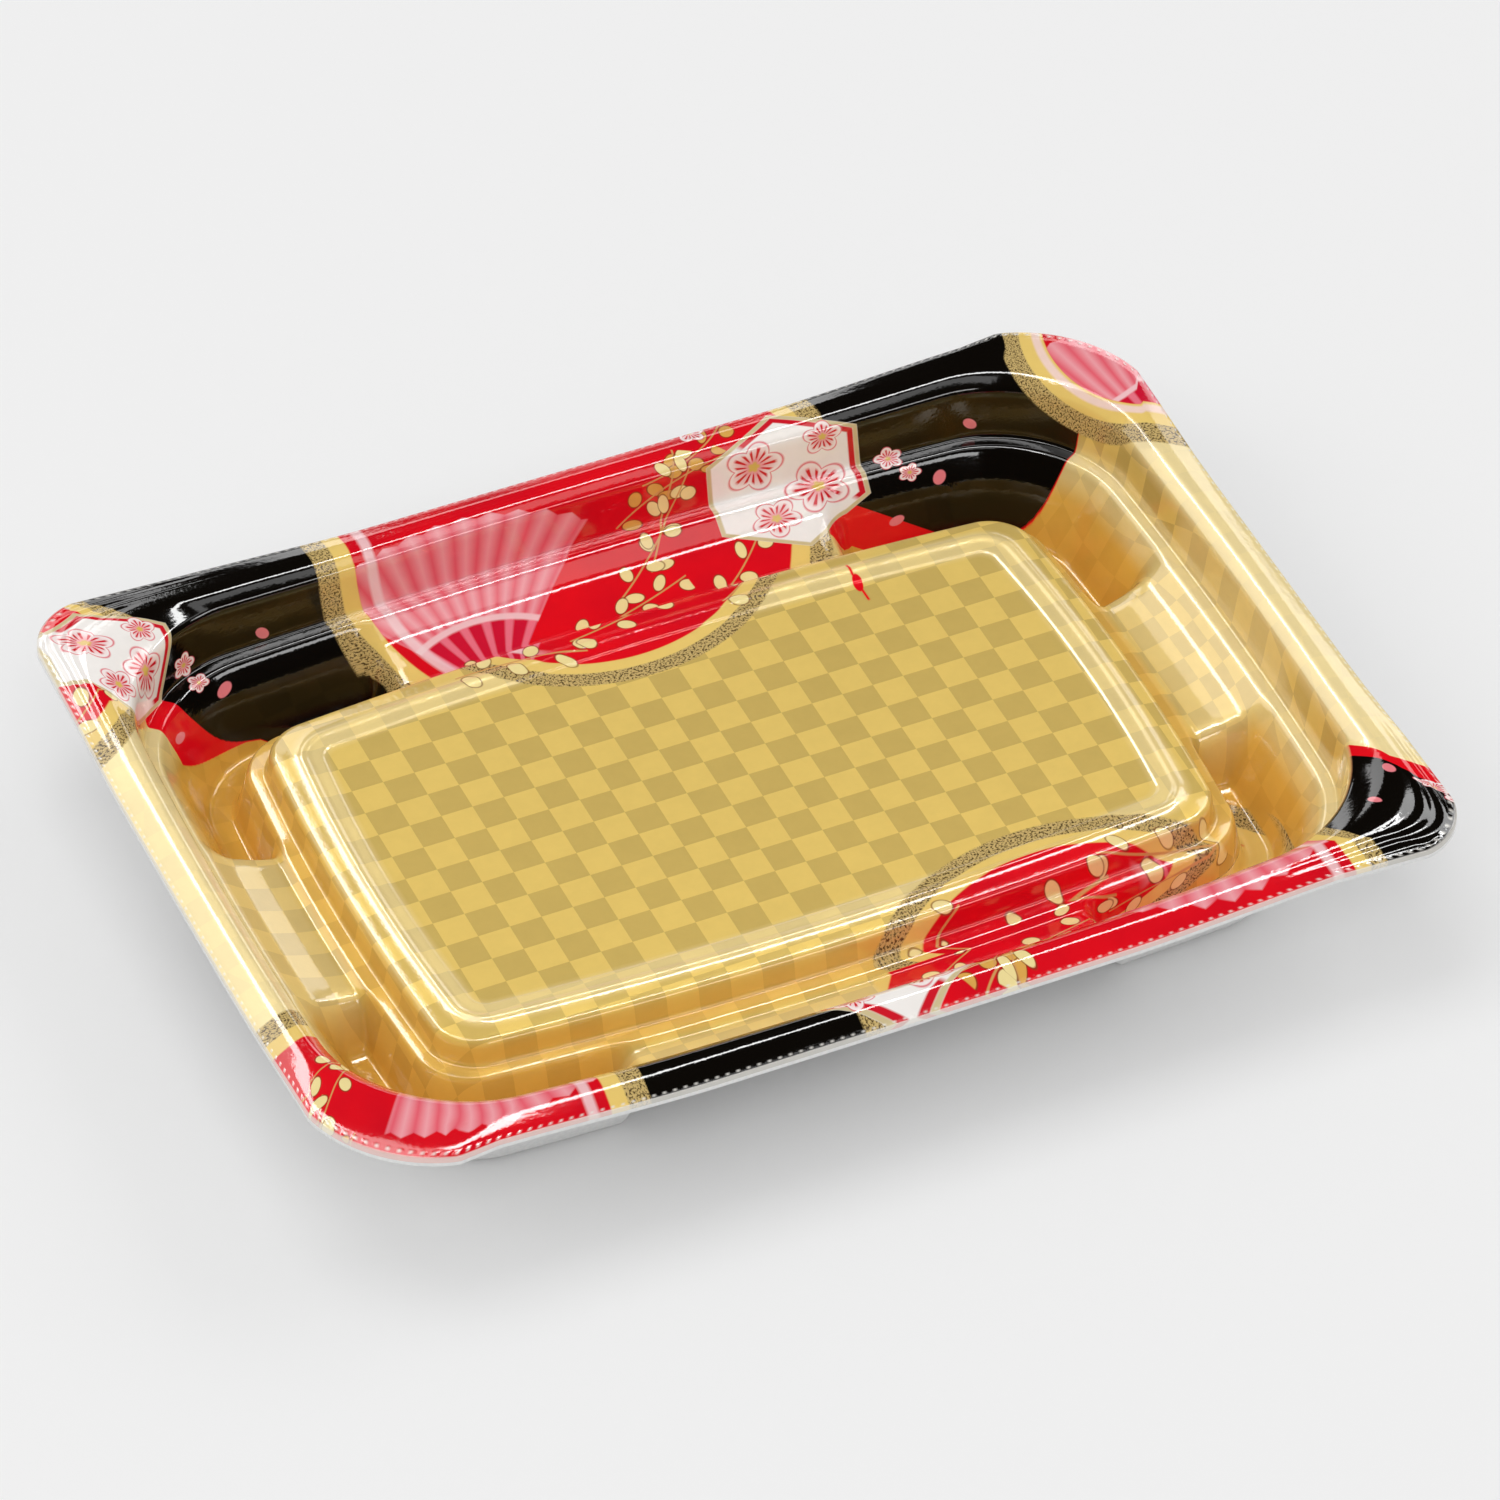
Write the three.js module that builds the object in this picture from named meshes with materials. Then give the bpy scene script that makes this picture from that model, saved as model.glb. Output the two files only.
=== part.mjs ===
// Takeaway sushi tray, pressed in one piece from a thin sheet of foamed polystyrene.
// Millimetres, +Z up. The origin is under the middle of the tray, on the plane that its feet stand on.
// +X runs along the tray and +Y across it, away from the person who eats from it.
//
// From the middle outwards the sheet forms a flat panel in a low raised frame, a wall down to a narrow
// terrace, a moat, a wall with a ledge half way up, and a rolled rim that rises at the corners.
// The moat is shallow in the middle of each side, where it forms a pad, and it is deep round the four
// corners, where its floor is the tray's feet.
import * as THREE from 'three';

const trayLength = 261.4;
const trayWidth = 188;
const sheetThickness = 1.5;
const cutEdgeHeight = 2.4;
const cornerLift = 2.4;

// Near the corners the rim's edge steps outwards on the long sides: where the step starts, and its run
const stepStart = 103;
const stepRun = 4;

// Half the length of a pad along a long and a short side, and the run of the slope at its end
const padHalf = { long: 54.2, short: 24.2 };
const padSlope = 7.4;

// The upper face's creases, as seen in a section from the panel out to the edge.
// inset: how far the crease lies inside the tray's edge, in the middle of a side
// height: above the feet
// pocket: the same two values where the moat is deep, for the creases that change there
// corner: the corner radius, and flat: how far it is flattened to a chamfer, from 0 to 1.
//   The rim's corners come in two kinds, in turn round the tray: cut ones, and fuller tabs to lift it by
// bow: how much further in the ends of a long and of a short side lie than its middle
// lift: how much of the rise at the tray's corners the crease takes part in
// step: how far the crease takes part in the edge's step at the corners
// soft: how far the rounding reaches along the faces beside the crease, from 0 to 0.5
const creases = [
  { inset: 47.9, height: 20.5, corner: 3, bow: [3.2, 2.4] },
  { inset: 47.0, height: 21.1, corner: 3.5, bow: [3.4, 2.5] },
  { inset: 43.0, height: 21.2, corner: 7, bow: [3.7, 2.6] },
  { inset: 37.2, height: 20.2, corner: 9, bow: [3.9, 2.7], soft: 0.3 },
  { inset: 36.2, height: 14.5, corner: 10, bow: [4.2, 2.8], soft: 0.2 },
  { inset: 32.7, height: 14.3, corner: 11, bow: [4.4, 2.9], soft: 0.2 },
  {
    inset: 30.4, height: 13.3, pocket: { inset: 30.2, height: 1.5 },
    corner: 13, bow: [4.4, 2.9], soft: 0.2,
  },
  {
    inset: 26.0, height: 14.4, pocket: { inset: 24.6, height: 1.5 },
    corner: 19, bow: [3.4, 2.9], soft: 0.2,
  },
  {
    inset: 20.0, height: 16.6, pocket: { inset: 18.8, height: 14.05 },
    corner: 24, bow: [4.0, 2.8], soft: 0.2,
  },
  { inset: 15.1, height: 20.5, corner: 27, bow: [3.9, 2.8], soft: 0.25 },
  { inset: 12.0, height: 20.5, corner: 29, bow: [3.8, 2.8], soft: 0.2 },
  { inset: 10.5, height: 31.8, corner: 31, bow: [3.6, 2.8], lift: 0.7, soft: 0.2 },
  {
    inset: 7.3, height: 34.3, corner: 33, tab: { corner: 24 },
    bow: [3.4, 2.8], lift: 0.9, soft: 0.3,
  },
  {
    inset: 4.6, height: 34.1, corner: 33, flat: 0.1, tab: { corner: 16, flat: 0.1 },
    bow: [2.6, 2.4], lift: 0.9,
  },
  {
    inset: 1.4, height: 32.8, corner: 25, flat: 0.3, tab: { corner: 13, flat: 0.2 },
    bow: [0.9, 0.8], lift: 1, step: 0.9,
  },
  {
    inset: 0, height: 32.1, corner: 24, flat: 0.3, tab: { corner: 12, flat: 0.2 },
    bow: [0.5, 0.4], lift: 1, step: 1.2,
  },
];

// Points along half a pad, on the slope at its end, and steps round a corner
const padSteps = { long: 3, short: 2 };
const slopeSteps = 2;
const cornerSteps = 8;
// Rings of points round the bend of a soft crease
const bendRings = { wide: 3, narrow: 2 };
const wideBend = 0.3;

const smoothStep = (value) => THREE.MathUtils.smoothstep(value, 0, 1);

// A crease as a flat row of numbers, so that rings between two creases can be blended from them
function ringFrom(crease) {
  const pocket = crease.pocket ?? { inset: crease.inset, height: crease.height };
  const tab = crease.tab ?? { corner: crease.corner, flat: crease.flat };
  return {
    padInset: crease.inset,
    padHeight: crease.height,
    pocketInset: pocket.inset,
    pocketHeight: pocket.height,
    corner: crease.corner,
    flat: crease.flat ?? 0,
    tabCorner: tab.corner,
    tabFlat: tab.flat ?? 0,
    bowLong: crease.bow[0],
    bowShort: crease.bow[1],
    lift: crease.lift ?? 0,
    step: crease.step ?? 0,
  };
}

function blendRings(first, second, share) {
  const blended = {};
  for (const key of Object.keys(first)) {
    blended[key] = THREE.MathUtils.lerp(first[key], second[key], share);
  }
  return blended;
}

// The upper face's rings: one at a sharp crease, and two or three round the bend of a soft one
function upperRings() {
  const sharp = creases.map(ringFrom);
  const rings = [];
  creases.forEach(({ soft }, index) => {
    if (!soft) {
      rings.push(sharp[index]);
      return;
    }
    const start = blendRings(sharp[index], sharp[index - 1], soft);
    const end = blendRings(sharp[index], sharp[index + 1], soft);
    const count = soft < wideBend ? bendRings.narrow : bendRings.wide;
    for (let step = 0; step < count; step += 1) {
      const share = step / (count - 1);
      const before = blendRings(start, sharp[index], share);
      const after = blendRings(sharp[index], end, share);
      rings.push(blendRings(before, after, share));
    }
  });
  return rings;
}

// Where a crease lands on the underside: its corner moved by the sheet's thickness, mitred
function underPoint(section, index) {
  const here = section[index];
  const before = section[Math.max(index - 1, 0)];
  const after = section[Math.min(index + 1, section.length - 1)];
  const downFrom = (start, end) => {
    const along = new THREE.Vector2().subVectors(end, start);
    if (along.lengthSq() === 0) return null;
    return along.normalize().rotateAround(new THREE.Vector2(), -Math.PI / 2);
  };
  const first = downFrom(before, here) ?? downFrom(here, after);
  const second = downFrom(here, after) ?? first;
  const mitre = first.clone().add(second).multiplyScalar(sheetThickness / (1 + first.dot(second)));
  return here.clone().add(mitre);
}

// The underside's rings, from the panel out to the cut edge
function lowerRings() {
  const sharp = creases.map(ringFrom);
  const padSection = sharp.map((ring) => new THREE.Vector2(-ring.padInset, ring.padHeight));
  const pocketSection = sharp.map((ring) => new THREE.Vector2(-ring.pocketInset, ring.pocketHeight));
  const rings = sharp.slice(0, -1).map((ring, index) => {
    const pad = underPoint(padSection, index);
    const pocket = underPoint(pocketSection, index);
    const outwards = pocket.x + ring.pocketInset;
    return {
      ...ring,
      padInset: -pad.x,
      padHeight: pad.y,
      pocketInset: -pocket.x,
      pocketHeight: pocket.y,
      corner: ring.corner + outwards,
      tabCorner: ring.tabCorner + outwards,
    };
  });
  const edge = sharp.at(-1);
  const cutHeight = edge.padHeight - cutEdgeHeight;
  rings.push({ ...edge, padHeight: cutHeight, pocketHeight: cutHeight });
  return rings;
}

// Distances from the middle of a side: along its pad, down the slope, and on to the corner
function stationsOn(side, padShift) {
  const padEnd = padHalf[side] - padShift;
  const stations = [];
  for (let step = 0; step <= padSteps[side]; step += 1) {
    stations.push((padEnd * step) / padSteps[side]);
  }
  for (let step = 1; step <= slopeSteps; step += 1) {
    stations.push(padEnd + (padSlope * step) / slopeSteps);
  }
  return stations;
}

// One ring of points round the tray, anticlockwise from the middle of the right-hand short side
function ringPoints(ring, padShift) {
  const points = [];
  const addPoint = (alongX, alongY, inset, height) => {
    const halfX = trayLength / 2 - inset;
    const halfY = trayWidth / 2 - inset;
    const x = alongX * halfX * (1 - (ring.bowShort / halfX) * alongY ** 2);
    const step = (ring.step / halfY) * smoothStep((Math.abs(x) - stepStart) / stepRun);
    const y = alongY * halfY * (1 + step - (ring.bowLong / halfY) * alongX ** 2);
    const reach = (Math.abs(x) / (trayLength / 2)) * (Math.abs(y) / (trayWidth / 2));
    const rise = ring.lift * cornerLift * smoothStep((reach - 0.35) / 0.45);
    points.push(new THREE.Vector3(x, y, height + rise));
  };

  // A side's points, from its low end to its high end, in the direction of travel
  const addSide = (side, travel) => {
    const half = (side === 'long' ? trayLength : trayWidth) / 2;
    const padEnd = padHalf[side] - padShift;
    const cornerStart = half - ring.pocketInset - Math.max(ring.corner, ring.tabCorner);
    const stations = stationsOn(side, padShift);
    stations.push((stations.at(-1) + cornerStart) / 2);
    const places = [...stations.slice(1).map((place) => -place).reverse(), ...stations];
    for (const place of places) {
      const deep = smoothStep((Math.abs(place) - padEnd) / padSlope);
      const inset = THREE.MathUtils.lerp(ring.padInset, ring.pocketInset, deep);
      const height = THREE.MathUtils.lerp(ring.padHeight, ring.pocketHeight, deep);
      const along = (place * travel) / (half - inset);
      if (side === 'long') addPoint(along, -travel, inset, height);
      else addPoint(travel, along, inset, height);
    }
  };

  // A corner's points: a quarter circle, partly flattened towards its chord
  const addCorner = (signX, signY, startAngle) => {
    const isTab = signX * signY < 0;
    const radius = isTab ? ring.tabCorner : ring.corner;
    const flat = isTab ? ring.tabFlat : ring.flat;
    const halfX = trayLength / 2 - ring.pocketInset;
    const halfY = trayWidth / 2 - ring.pocketInset;
    const centre = new THREE.Vector2(signX * (halfX - radius), signY * (halfY - radius));
    const onArc = (angle) => new THREE.Vector2(Math.cos(angle), Math.sin(angle)).multiplyScalar(radius);
    for (let step = 0; step <= cornerSteps; step += 1) {
      const share = step / cornerSteps;
      const arc = onArc(startAngle + (share * Math.PI) / 2);
      const chord = onArc(startAngle).lerp(onArc(startAngle + Math.PI / 2), share);
      const place = arc.lerp(chord, flat).add(centre);
      addPoint(place.x / halfX, place.y / halfY, ring.pocketInset, ring.pocketHeight);
    }
  };

  addSide('short', 1);
  addCorner(1, 1, 0);
  addSide('long', -1);
  addCorner(-1, 1, Math.PI / 2);
  addSide('short', -1);
  addCorner(-1, -1, Math.PI);
  addSide('long', 1);
  addCorner(1, -1, (3 * Math.PI) / 2);
  return points;
}

// The closed shell: upper face outwards, over the cut edge, and the underside back to the middle
function trayGeometry() {
  const slopeAngle = Math.atan2(creases[7].height - creases[7].pocket.height, padSlope);
  const underShift = sheetThickness * Math.tan(slopeAngle / 2);
  const upper = upperRings().map((ring) => ringPoints(ring, 0));
  const lower = lowerRings().map((ring) => ringPoints(ring, underShift));
  const rings = [...upper, ...lower.reverse()];
  const around = rings[0].length;

  const points = rings.flat();
  const upperMiddle = points.length;
  points.push(new THREE.Vector3(0, 0, rings[0][0].z));
  const lowerMiddle = points.length;
  points.push(new THREE.Vector3(0, 0, rings.at(-1)[0].z));

  const triangles = [];
  for (let step = 0; step < around; step += 1) {
    const next = (step + 1) % around;
    triangles.push(upperMiddle, step, next);
    for (let ring = 0; ring + 1 < rings.length; ring += 1) {
      const inner = ring * around;
      const outer = inner + around;
      triangles.push(inner + step, outer + step, outer + next);
      triangles.push(inner + step, outer + next, inner + next);
    }
    const last = (rings.length - 1) * around;
    triangles.push(lowerMiddle, last + next, last + step);
  }

  const geometry = new THREE.BufferGeometry();
  const coordinates = points.flatMap((point) => point.toArray());
  geometry.setAttribute('position', new THREE.Float32BufferAttribute(coordinates, 3));
  geometry.setIndex(triangles);
  geometry.computeVertexNormals();
  return geometry;
}

const goldFoil = new THREE.MeshStandardMaterial({ color: 0xd9bb6c, roughness: 0.25, metalness: 0.1 });

const tray = new THREE.Mesh(trayGeometry(), goldFoil);
tray.name = 'tray';

const group = new THREE.Group();
group.add(tray);

export default group;
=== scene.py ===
import math

import bpy
import numpy as np
from mathutils import Matrix, Vector


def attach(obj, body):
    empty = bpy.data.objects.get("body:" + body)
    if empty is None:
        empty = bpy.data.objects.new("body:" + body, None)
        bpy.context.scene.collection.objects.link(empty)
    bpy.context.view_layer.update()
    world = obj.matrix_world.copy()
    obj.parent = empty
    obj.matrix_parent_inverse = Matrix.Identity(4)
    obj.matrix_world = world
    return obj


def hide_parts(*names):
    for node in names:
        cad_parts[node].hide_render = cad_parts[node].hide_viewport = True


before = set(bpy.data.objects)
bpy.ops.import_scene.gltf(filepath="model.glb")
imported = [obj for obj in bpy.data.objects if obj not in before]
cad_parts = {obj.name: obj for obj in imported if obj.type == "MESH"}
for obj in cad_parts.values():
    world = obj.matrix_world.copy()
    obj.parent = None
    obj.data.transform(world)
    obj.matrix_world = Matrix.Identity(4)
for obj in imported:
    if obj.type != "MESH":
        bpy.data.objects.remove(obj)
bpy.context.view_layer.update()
print("frame loaded:", sorted(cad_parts))

millimetre = 0.001

# The pressed sheet, in millimetres. Its creases are those of the part's source, with rounder bends,
# and with a small bead added along the frame's crest
traySheet = {
    "length": 261.4,
    "width": 188.0,
    "thickness": 1.5,
    "cutEdge": 2.4,
    "cornerLift": 2.4,
    # how near a corner the lift starts and over how much it rises, as shares of the way there
    "liftStart": 0.35,
    "liftRun": 0.45,
    "stepStart": 103.0,
    "stepRun": 4.0,
    "padHalf": {"long": 54.2, "short": 24.2},
    "padSlope": 7.4,
    "padDrop": 12.9,
    "padSteps": {"long": 11, "short": 6},
    "slopeSteps": 6,
    "wallSteps": {"long": 5, "short": 4},
    "cornerSteps": 26,
    # inset and height of each crease, corner radius, bow of a long and a short side, and how far
    # the bend reaches; pocket: inset and height round the corners; tab: radius and flat there
    "creases": [
        {"at": (52.0, 20.5), "corner": 1.5, "bow": (3.2, 2.4)},
        {"at": (47.9, 20.5), "corner": 3, "bow": (3.2, 2.4), "soft": 0.2},
        {"at": (47.2, 20.95), "corner": 3.5, "bow": (3.4, 2.5), "soft": 0.3},
        {"at": (44.9, 20.85), "corner": 5, "bow": (3.5, 2.6), "soft": 0.35},
        {"at": (43.4, 21.55), "corner": 6.5, "bow": (3.6, 2.6), "soft": 0.42},
        {"at": (41.9, 20.9), "corner": 7.5, "bow": (3.7, 2.6), "soft": 0.35},
        {"at": (37.2, 20.2), "corner": 9, "bow": (3.9, 2.7), "soft": 0.25},
        {"at": (36.2, 14.5), "corner": 10, "bow": (4.2, 2.8), "soft": 0.2},
        {"at": (32.7, 14.3), "corner": 11, "bow": (4.4, 2.9), "soft": 0.2},
        {"at": (30.4, 13.3), "pocket": (30.2, 1.5), "corner": 13, "bow": (4.4, 2.9), "soft": 0.2},
        {"at": (26.0, 14.4), "pocket": (24.6, 1.5), "corner": 19, "bow": (3.4, 2.9), "soft": 0.2},
        {"at": (20.0, 16.6), "pocket": (18.8, 14.05), "corner": 24, "bow": (4.0, 2.8), "soft": 0.2},
        {"at": (15.1, 20.5), "corner": 27, "bow": (3.9, 2.8), "soft": 0.25},
        {"at": (12.0, 20.5), "corner": 29, "bow": (3.8, 2.8), "soft": 0.2},
        {"at": (10.5, 31.8), "corner": 31, "bow": (3.6, 2.8), "lift": 0.7, "soft": 0.2},
        {"at": (7.3, 34.3), "corner": 33, "tab": (24, 0), "bow": (3.4, 2.8), "lift": 0.9, "soft": 0.3,
         "run": 6},
        {"at": (4.6, 34.1), "corner": 33, "flat": 0.1, "tab": (16, 0.1), "bow": (2.6, 2.4), "lift": 0.9,
         "soft": 0.3, "run": 10},
        {"at": (1.4, 32.8), "corner": 25, "flat": 0.3, "tab": (13, 0.2), "bow": (0.9, 0.8), "lift": 1,
         "step": 0.9, "soft": 0.25, "run": 4},
        {"at": (0.0, 32.1), "corner": 24, "flat": 0.3, "tab": (12, 0.2), "bow": (0.5, 0.4), "lift": 1,
         "step": 1.2, "soft": 0.14, "run": 2},
    ],
    # rings in each bend, and how far the bends of the cut edge and the underside reach
    "bendRings": 6,
    "cutSoft": 0.15,
    "underSoft": 0.22,
    # underneath, the creases are counted down from this number
    "underSection": 100,
    # crease numbers that bound the sheet's zones, counted from the panel outwards
    "zones": {"frame": (1, 5), "islandTop": 6, "islandEdge": 6.5, "moatEnd": 8.6, "pocket": 9,
              "nearFloor": 10.4, "ledge": 12, "shoulder": 14, "crest": 15.2, "lip": 17.6,
              "filmEnd": 18.6},
}

valueNames = ["padInset", "padHeight", "pocketInset", "pocketHeight", "corner", "flat", "tabCorner",
              "tabFlat", "bowLong", "bowShort", "lift", "step", "padShift", "section"]
column = {name: index for index, name in enumerate(valueNames)}


def smooth(value):
    value = np.clip(value, 0, 1)
    return value * value * (3 - 2 * value)


def creaseRow(crease, section):
    inset, height = crease["at"]
    pocketInset, pocketHeight = crease.get("pocket", crease["at"])
    flat = crease.get("flat", 0)
    tabCorner, tabFlat = crease.get("tab", (crease["corner"], flat))
    bowLong, bowShort = crease["bow"]
    lift, step, padShift = crease.get("lift", 0), crease.get("step", 0), 0
    return np.array([inset, height, pocketInset, pocketHeight, crease["corner"], flat, tabCorner,
                     tabFlat, bowLong, bowShort, lift, step, padShift, section], float)


# Where a crease lands on the underside: moved by the sheet's thickness, mitred between its faces
def underPoint(section, index):
    here = section[index]
    steps = []
    for start, end in ((index - 1, index), (index, index + 1)):
        if 0 <= start and end < len(section):
            along = section[end] - section[start]
            along = along / np.linalg.norm(along)
            steps.append(np.array([along[1], -along[0]]))
    first, second = steps[0], steps[-1]
    return here + (first + second) * traySheet["thickness"] / (1 + first @ second)


def underRows(rows):
    pads = [np.array([-row[column["padInset"]], row[column["padHeight"]]]) for row in rows]
    pockets = [np.array([-row[column["pocketInset"]], row[column["pocketHeight"]]]) for row in rows]
    slope = math.atan2(traySheet["padDrop"], traySheet["padSlope"])
    lower = []
    for index in range(len(rows) - 1):
        row = rows[index].copy()
        pad, pocket = underPoint(pads, index), underPoint(pockets, index)
        outwards = pocket[0] + row[column["pocketInset"]]
        row[:4] = -pad[0], pad[1], -pocket[0], pocket[1]
        row[column["corner"]] += outwards
        row[column["tabCorner"]] += outwards
        row[column["padShift"]] = traySheet["thickness"] * math.tan(slope / 2)
        row[column["section"]] = traySheet["underSection"] - row[column["section"]]
        lower.append(row)
    return lower


# All rings of the section: over the upper face, down the cut edge and back under the sheet
def sectionRings():
    creases = traySheet["creases"]
    upper = [creaseRow(crease, index) for index, crease in enumerate(creases)]
    cut = upper[-1].copy()
    cut[[column["padHeight"], column["pocketHeight"]]] -= traySheet["cutEdge"]
    cut[column["section"]] += 1
    lower = underRows(upper)
    rows = upper + [cut] + lower[::-1]
    softness = [crease.get("soft", 0) for crease in creases] + [traySheet["cutSoft"]]
    softness += [traySheet["underSoft"]] * (len(lower) - 1) + [0]
    runs = [crease.get("run", 1) for crease in creases] + [1] * (len(lower) + 1)
    rings = []
    for index, row in enumerate(rows):
        soft = softness[index]
        if soft == 0:
            rings.append(row)
        else:
            start = row + (rows[index - 1] - row) * soft
            end = row + (rows[index + 1] - row) * soft
            for step in range(traySheet["bendRings"]):
                share = step / (traySheet["bendRings"] - 1)
                rings.append(start * (1 - share) ** 2 + row * 2 * share * (1 - share)
                             + end * share ** 2)
        if runs[index] > 1:
            last = rings[-1]
            following = rows[index + 1] + (row - rows[index + 1]) * softness[index + 1]
            for step in range(1, runs[index]):
                rings.append(last + (following - last) * step / runs[index])
    return rings


# One ring of points round the tray, anticlockwise from the low end of the right-hand short side
def ringPoints(row):
    ring = dict(zip(valueNames, row))
    length, width = traySheet["length"], traySheet["width"]
    points = []

    def addPoints(alongX, alongY, inset, height, deep):
        halfX = length / 2 - inset
        halfY = width / 2 - inset
        x = alongX * halfX * (1 - ring["bowShort"] / halfX * alongY ** 2)
        stepped = smooth((np.abs(x) - traySheet["stepStart"]) / traySheet["stepRun"])
        step = ring["step"] / halfY * stepped
        y = alongY * halfY * (1 + step - ring["bowLong"] / halfY * alongX ** 2)
        reach = np.abs(x) / (length / 2) * np.abs(y) / (width / 2)
        lifted = smooth((reach - traySheet["liftStart"]) / traySheet["liftRun"])
        rise = ring["lift"] * traySheet["cornerLift"] * lifted
        points.append(np.stack([x, y, height + rise, deep + 0 * x], 1))

    def addSide(side, travel):
        half = (length if side == "long" else width) / 2
        padEnd = traySheet["padHalf"][side] - ring["padShift"]
        slopeEnd = padEnd + traySheet["padSlope"]
        cornerStart = half - ring["pocketInset"] - max(ring["corner"], ring["tabCorner"])
        onPad = np.linspace(0, padEnd, traySheet["padSteps"][side] + 1)
        onSlope = np.linspace(padEnd, slopeEnd, traySheet["slopeSteps"] + 1)[1:]
        onWall = np.linspace(slopeEnd, cornerStart, traySheet["wallSteps"][side] + 1)[1:-1]
        stations = np.concatenate([onPad, onSlope, onWall])
        places = np.concatenate([-stations[:0:-1], stations])
        deep = smooth((np.abs(places) - padEnd) / traySheet["padSlope"])
        inset = ring["padInset"] + (ring["pocketInset"] - ring["padInset"]) * deep
        height = ring["padHeight"] + (ring["pocketHeight"] - ring["padHeight"]) * deep
        along = places * travel / (half - inset)
        if side == "long":
            addPoints(along, -travel + 0 * along, inset, height, deep)
        else:
            addPoints(travel + 0 * along, along, inset, height, deep)

    def addCorner(signX, signY, startAngle):
        isTab = signX * signY < 0
        radius = ring["tabCorner"] if isTab else ring["corner"]
        flat = ring["tabFlat"] if isTab else ring["flat"]
        halfX = length / 2 - ring["pocketInset"]
        halfY = width / 2 - ring["pocketInset"]
        share = np.linspace(0, 1, traySheet["cornerSteps"] + 1)[:, None]
        angle = startAngle + share * math.pi / 2
        arc = np.hstack([np.cos(angle), np.sin(angle)]) * radius
        place = arc + (arc[0] + (arc[-1] - arc[0]) * share - arc) * flat
        place = place + [signX * (halfX - radius), signY * (halfY - radius)]
        addPoints(place[:, 0] / halfX, place[:, 1] / halfY,
                  ring["pocketInset"], ring["pocketHeight"], 1)

    addSide("short", 1)
    addCorner(1, 1, 0)
    addSide("long", -1)
    addCorner(-1, 1, math.pi / 2)
    addSide("short", -1)
    addCorner(-1, -1, math.pi)
    addSide("long", 1)
    addCorner(1, -1, 3 * math.pi / 2)
    return np.concatenate(points)


def unitLength(vectors):
    return vectors / np.maximum(np.linalg.norm(vectors, axis=-1, keepdims=True), 1e-9)


# Fine ridges round the two tab corners, in millimetres and radians: how far in their centre lies and
# the room round it, the turn that they leave free at each end, and their distance from the crest
cornerRidges = {"pitch": 5.0, "depth": 0.35, "centre": 34, "room": 4, "endGap": 0.15, "endFade": 0.5,
                "crestGap": 3, "crestFade": 3, "lipFade": 1.5}


# They only sink into the sheet, so its outline stays
def pressRidges(grid, sections):
    ridges = cornerRidges
    places = grid[:, :, :3]
    around = np.roll(places, -1, 1) - np.roll(places, 1, 1)
    outwards = np.gradient(places, axis=0)
    normals = unitLength(np.cross(outwards, around))
    crest = int(np.argmin(np.abs(sections - traySheet["zones"]["crest"])))
    lip = int(np.argmax(sections >= traySheet["zones"]["lip"]))
    travelled = np.zeros(grid.shape[:2])
    lengths = np.linalg.norm(np.diff(places, axis=0), axis=2)
    travelled[crest + 1:] = np.cumsum(lengths[crest:], axis=0)
    x, y = places[:, :, 0], places[:, :, 1]
    cornerX = traySheet["length"] / 2 - ridges["centre"]
    cornerY = traySheet["width"] / 2 - ridges["centre"]
    angle = np.arctan2(np.abs(y) - cornerY, np.abs(x) - cornerX)
    window = smooth((angle - ridges["endGap"]) / ridges["endFade"])
    window = window * smooth((math.pi / 2 - ridges["endGap"] - angle) / ridges["endFade"])
    nearX, nearY = np.abs(x) > cornerX - ridges["room"], np.abs(y) > cornerY - ridges["room"]
    window = window * (x * y < 0) * nearX * nearY
    inZone = smooth((travelled - ridges["crestGap"]) / ridges["crestFade"])
    inZone = inZone * smooth((travelled[lip] - travelled) / ridges["lipFade"])
    wave = 0.5 - 0.5 * np.cos(2 * math.pi * travelled / ridges["pitch"])
    depth = ridges["depth"] * wave * window * inZone
    depth[:crest] = 0
    depth[lip + 1:] = 0
    places -= normals * depth[:, :, None]


# Where each point of the upper face lies on the flat film before pressing, for the two prints:
# the checks slide down the walls, and the large print keeps to its own register.
# outer and wall: where, from the moat's end, each slide changes over, and along how many creases
filmStretch = {"level": 20.5, "checks": 0.5, "checksPad": 7.0, "checksPocket": 18.0, "print": 0.94,
               "easeLong": (20, 70), "easeShort": (8, 45), "slideFar": 0.24, "slideNear": 0.6,
               "evenStart": 0.5, "outer": (-0.6, 2.5), "wall": (-1.0, 1.4)}


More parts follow.
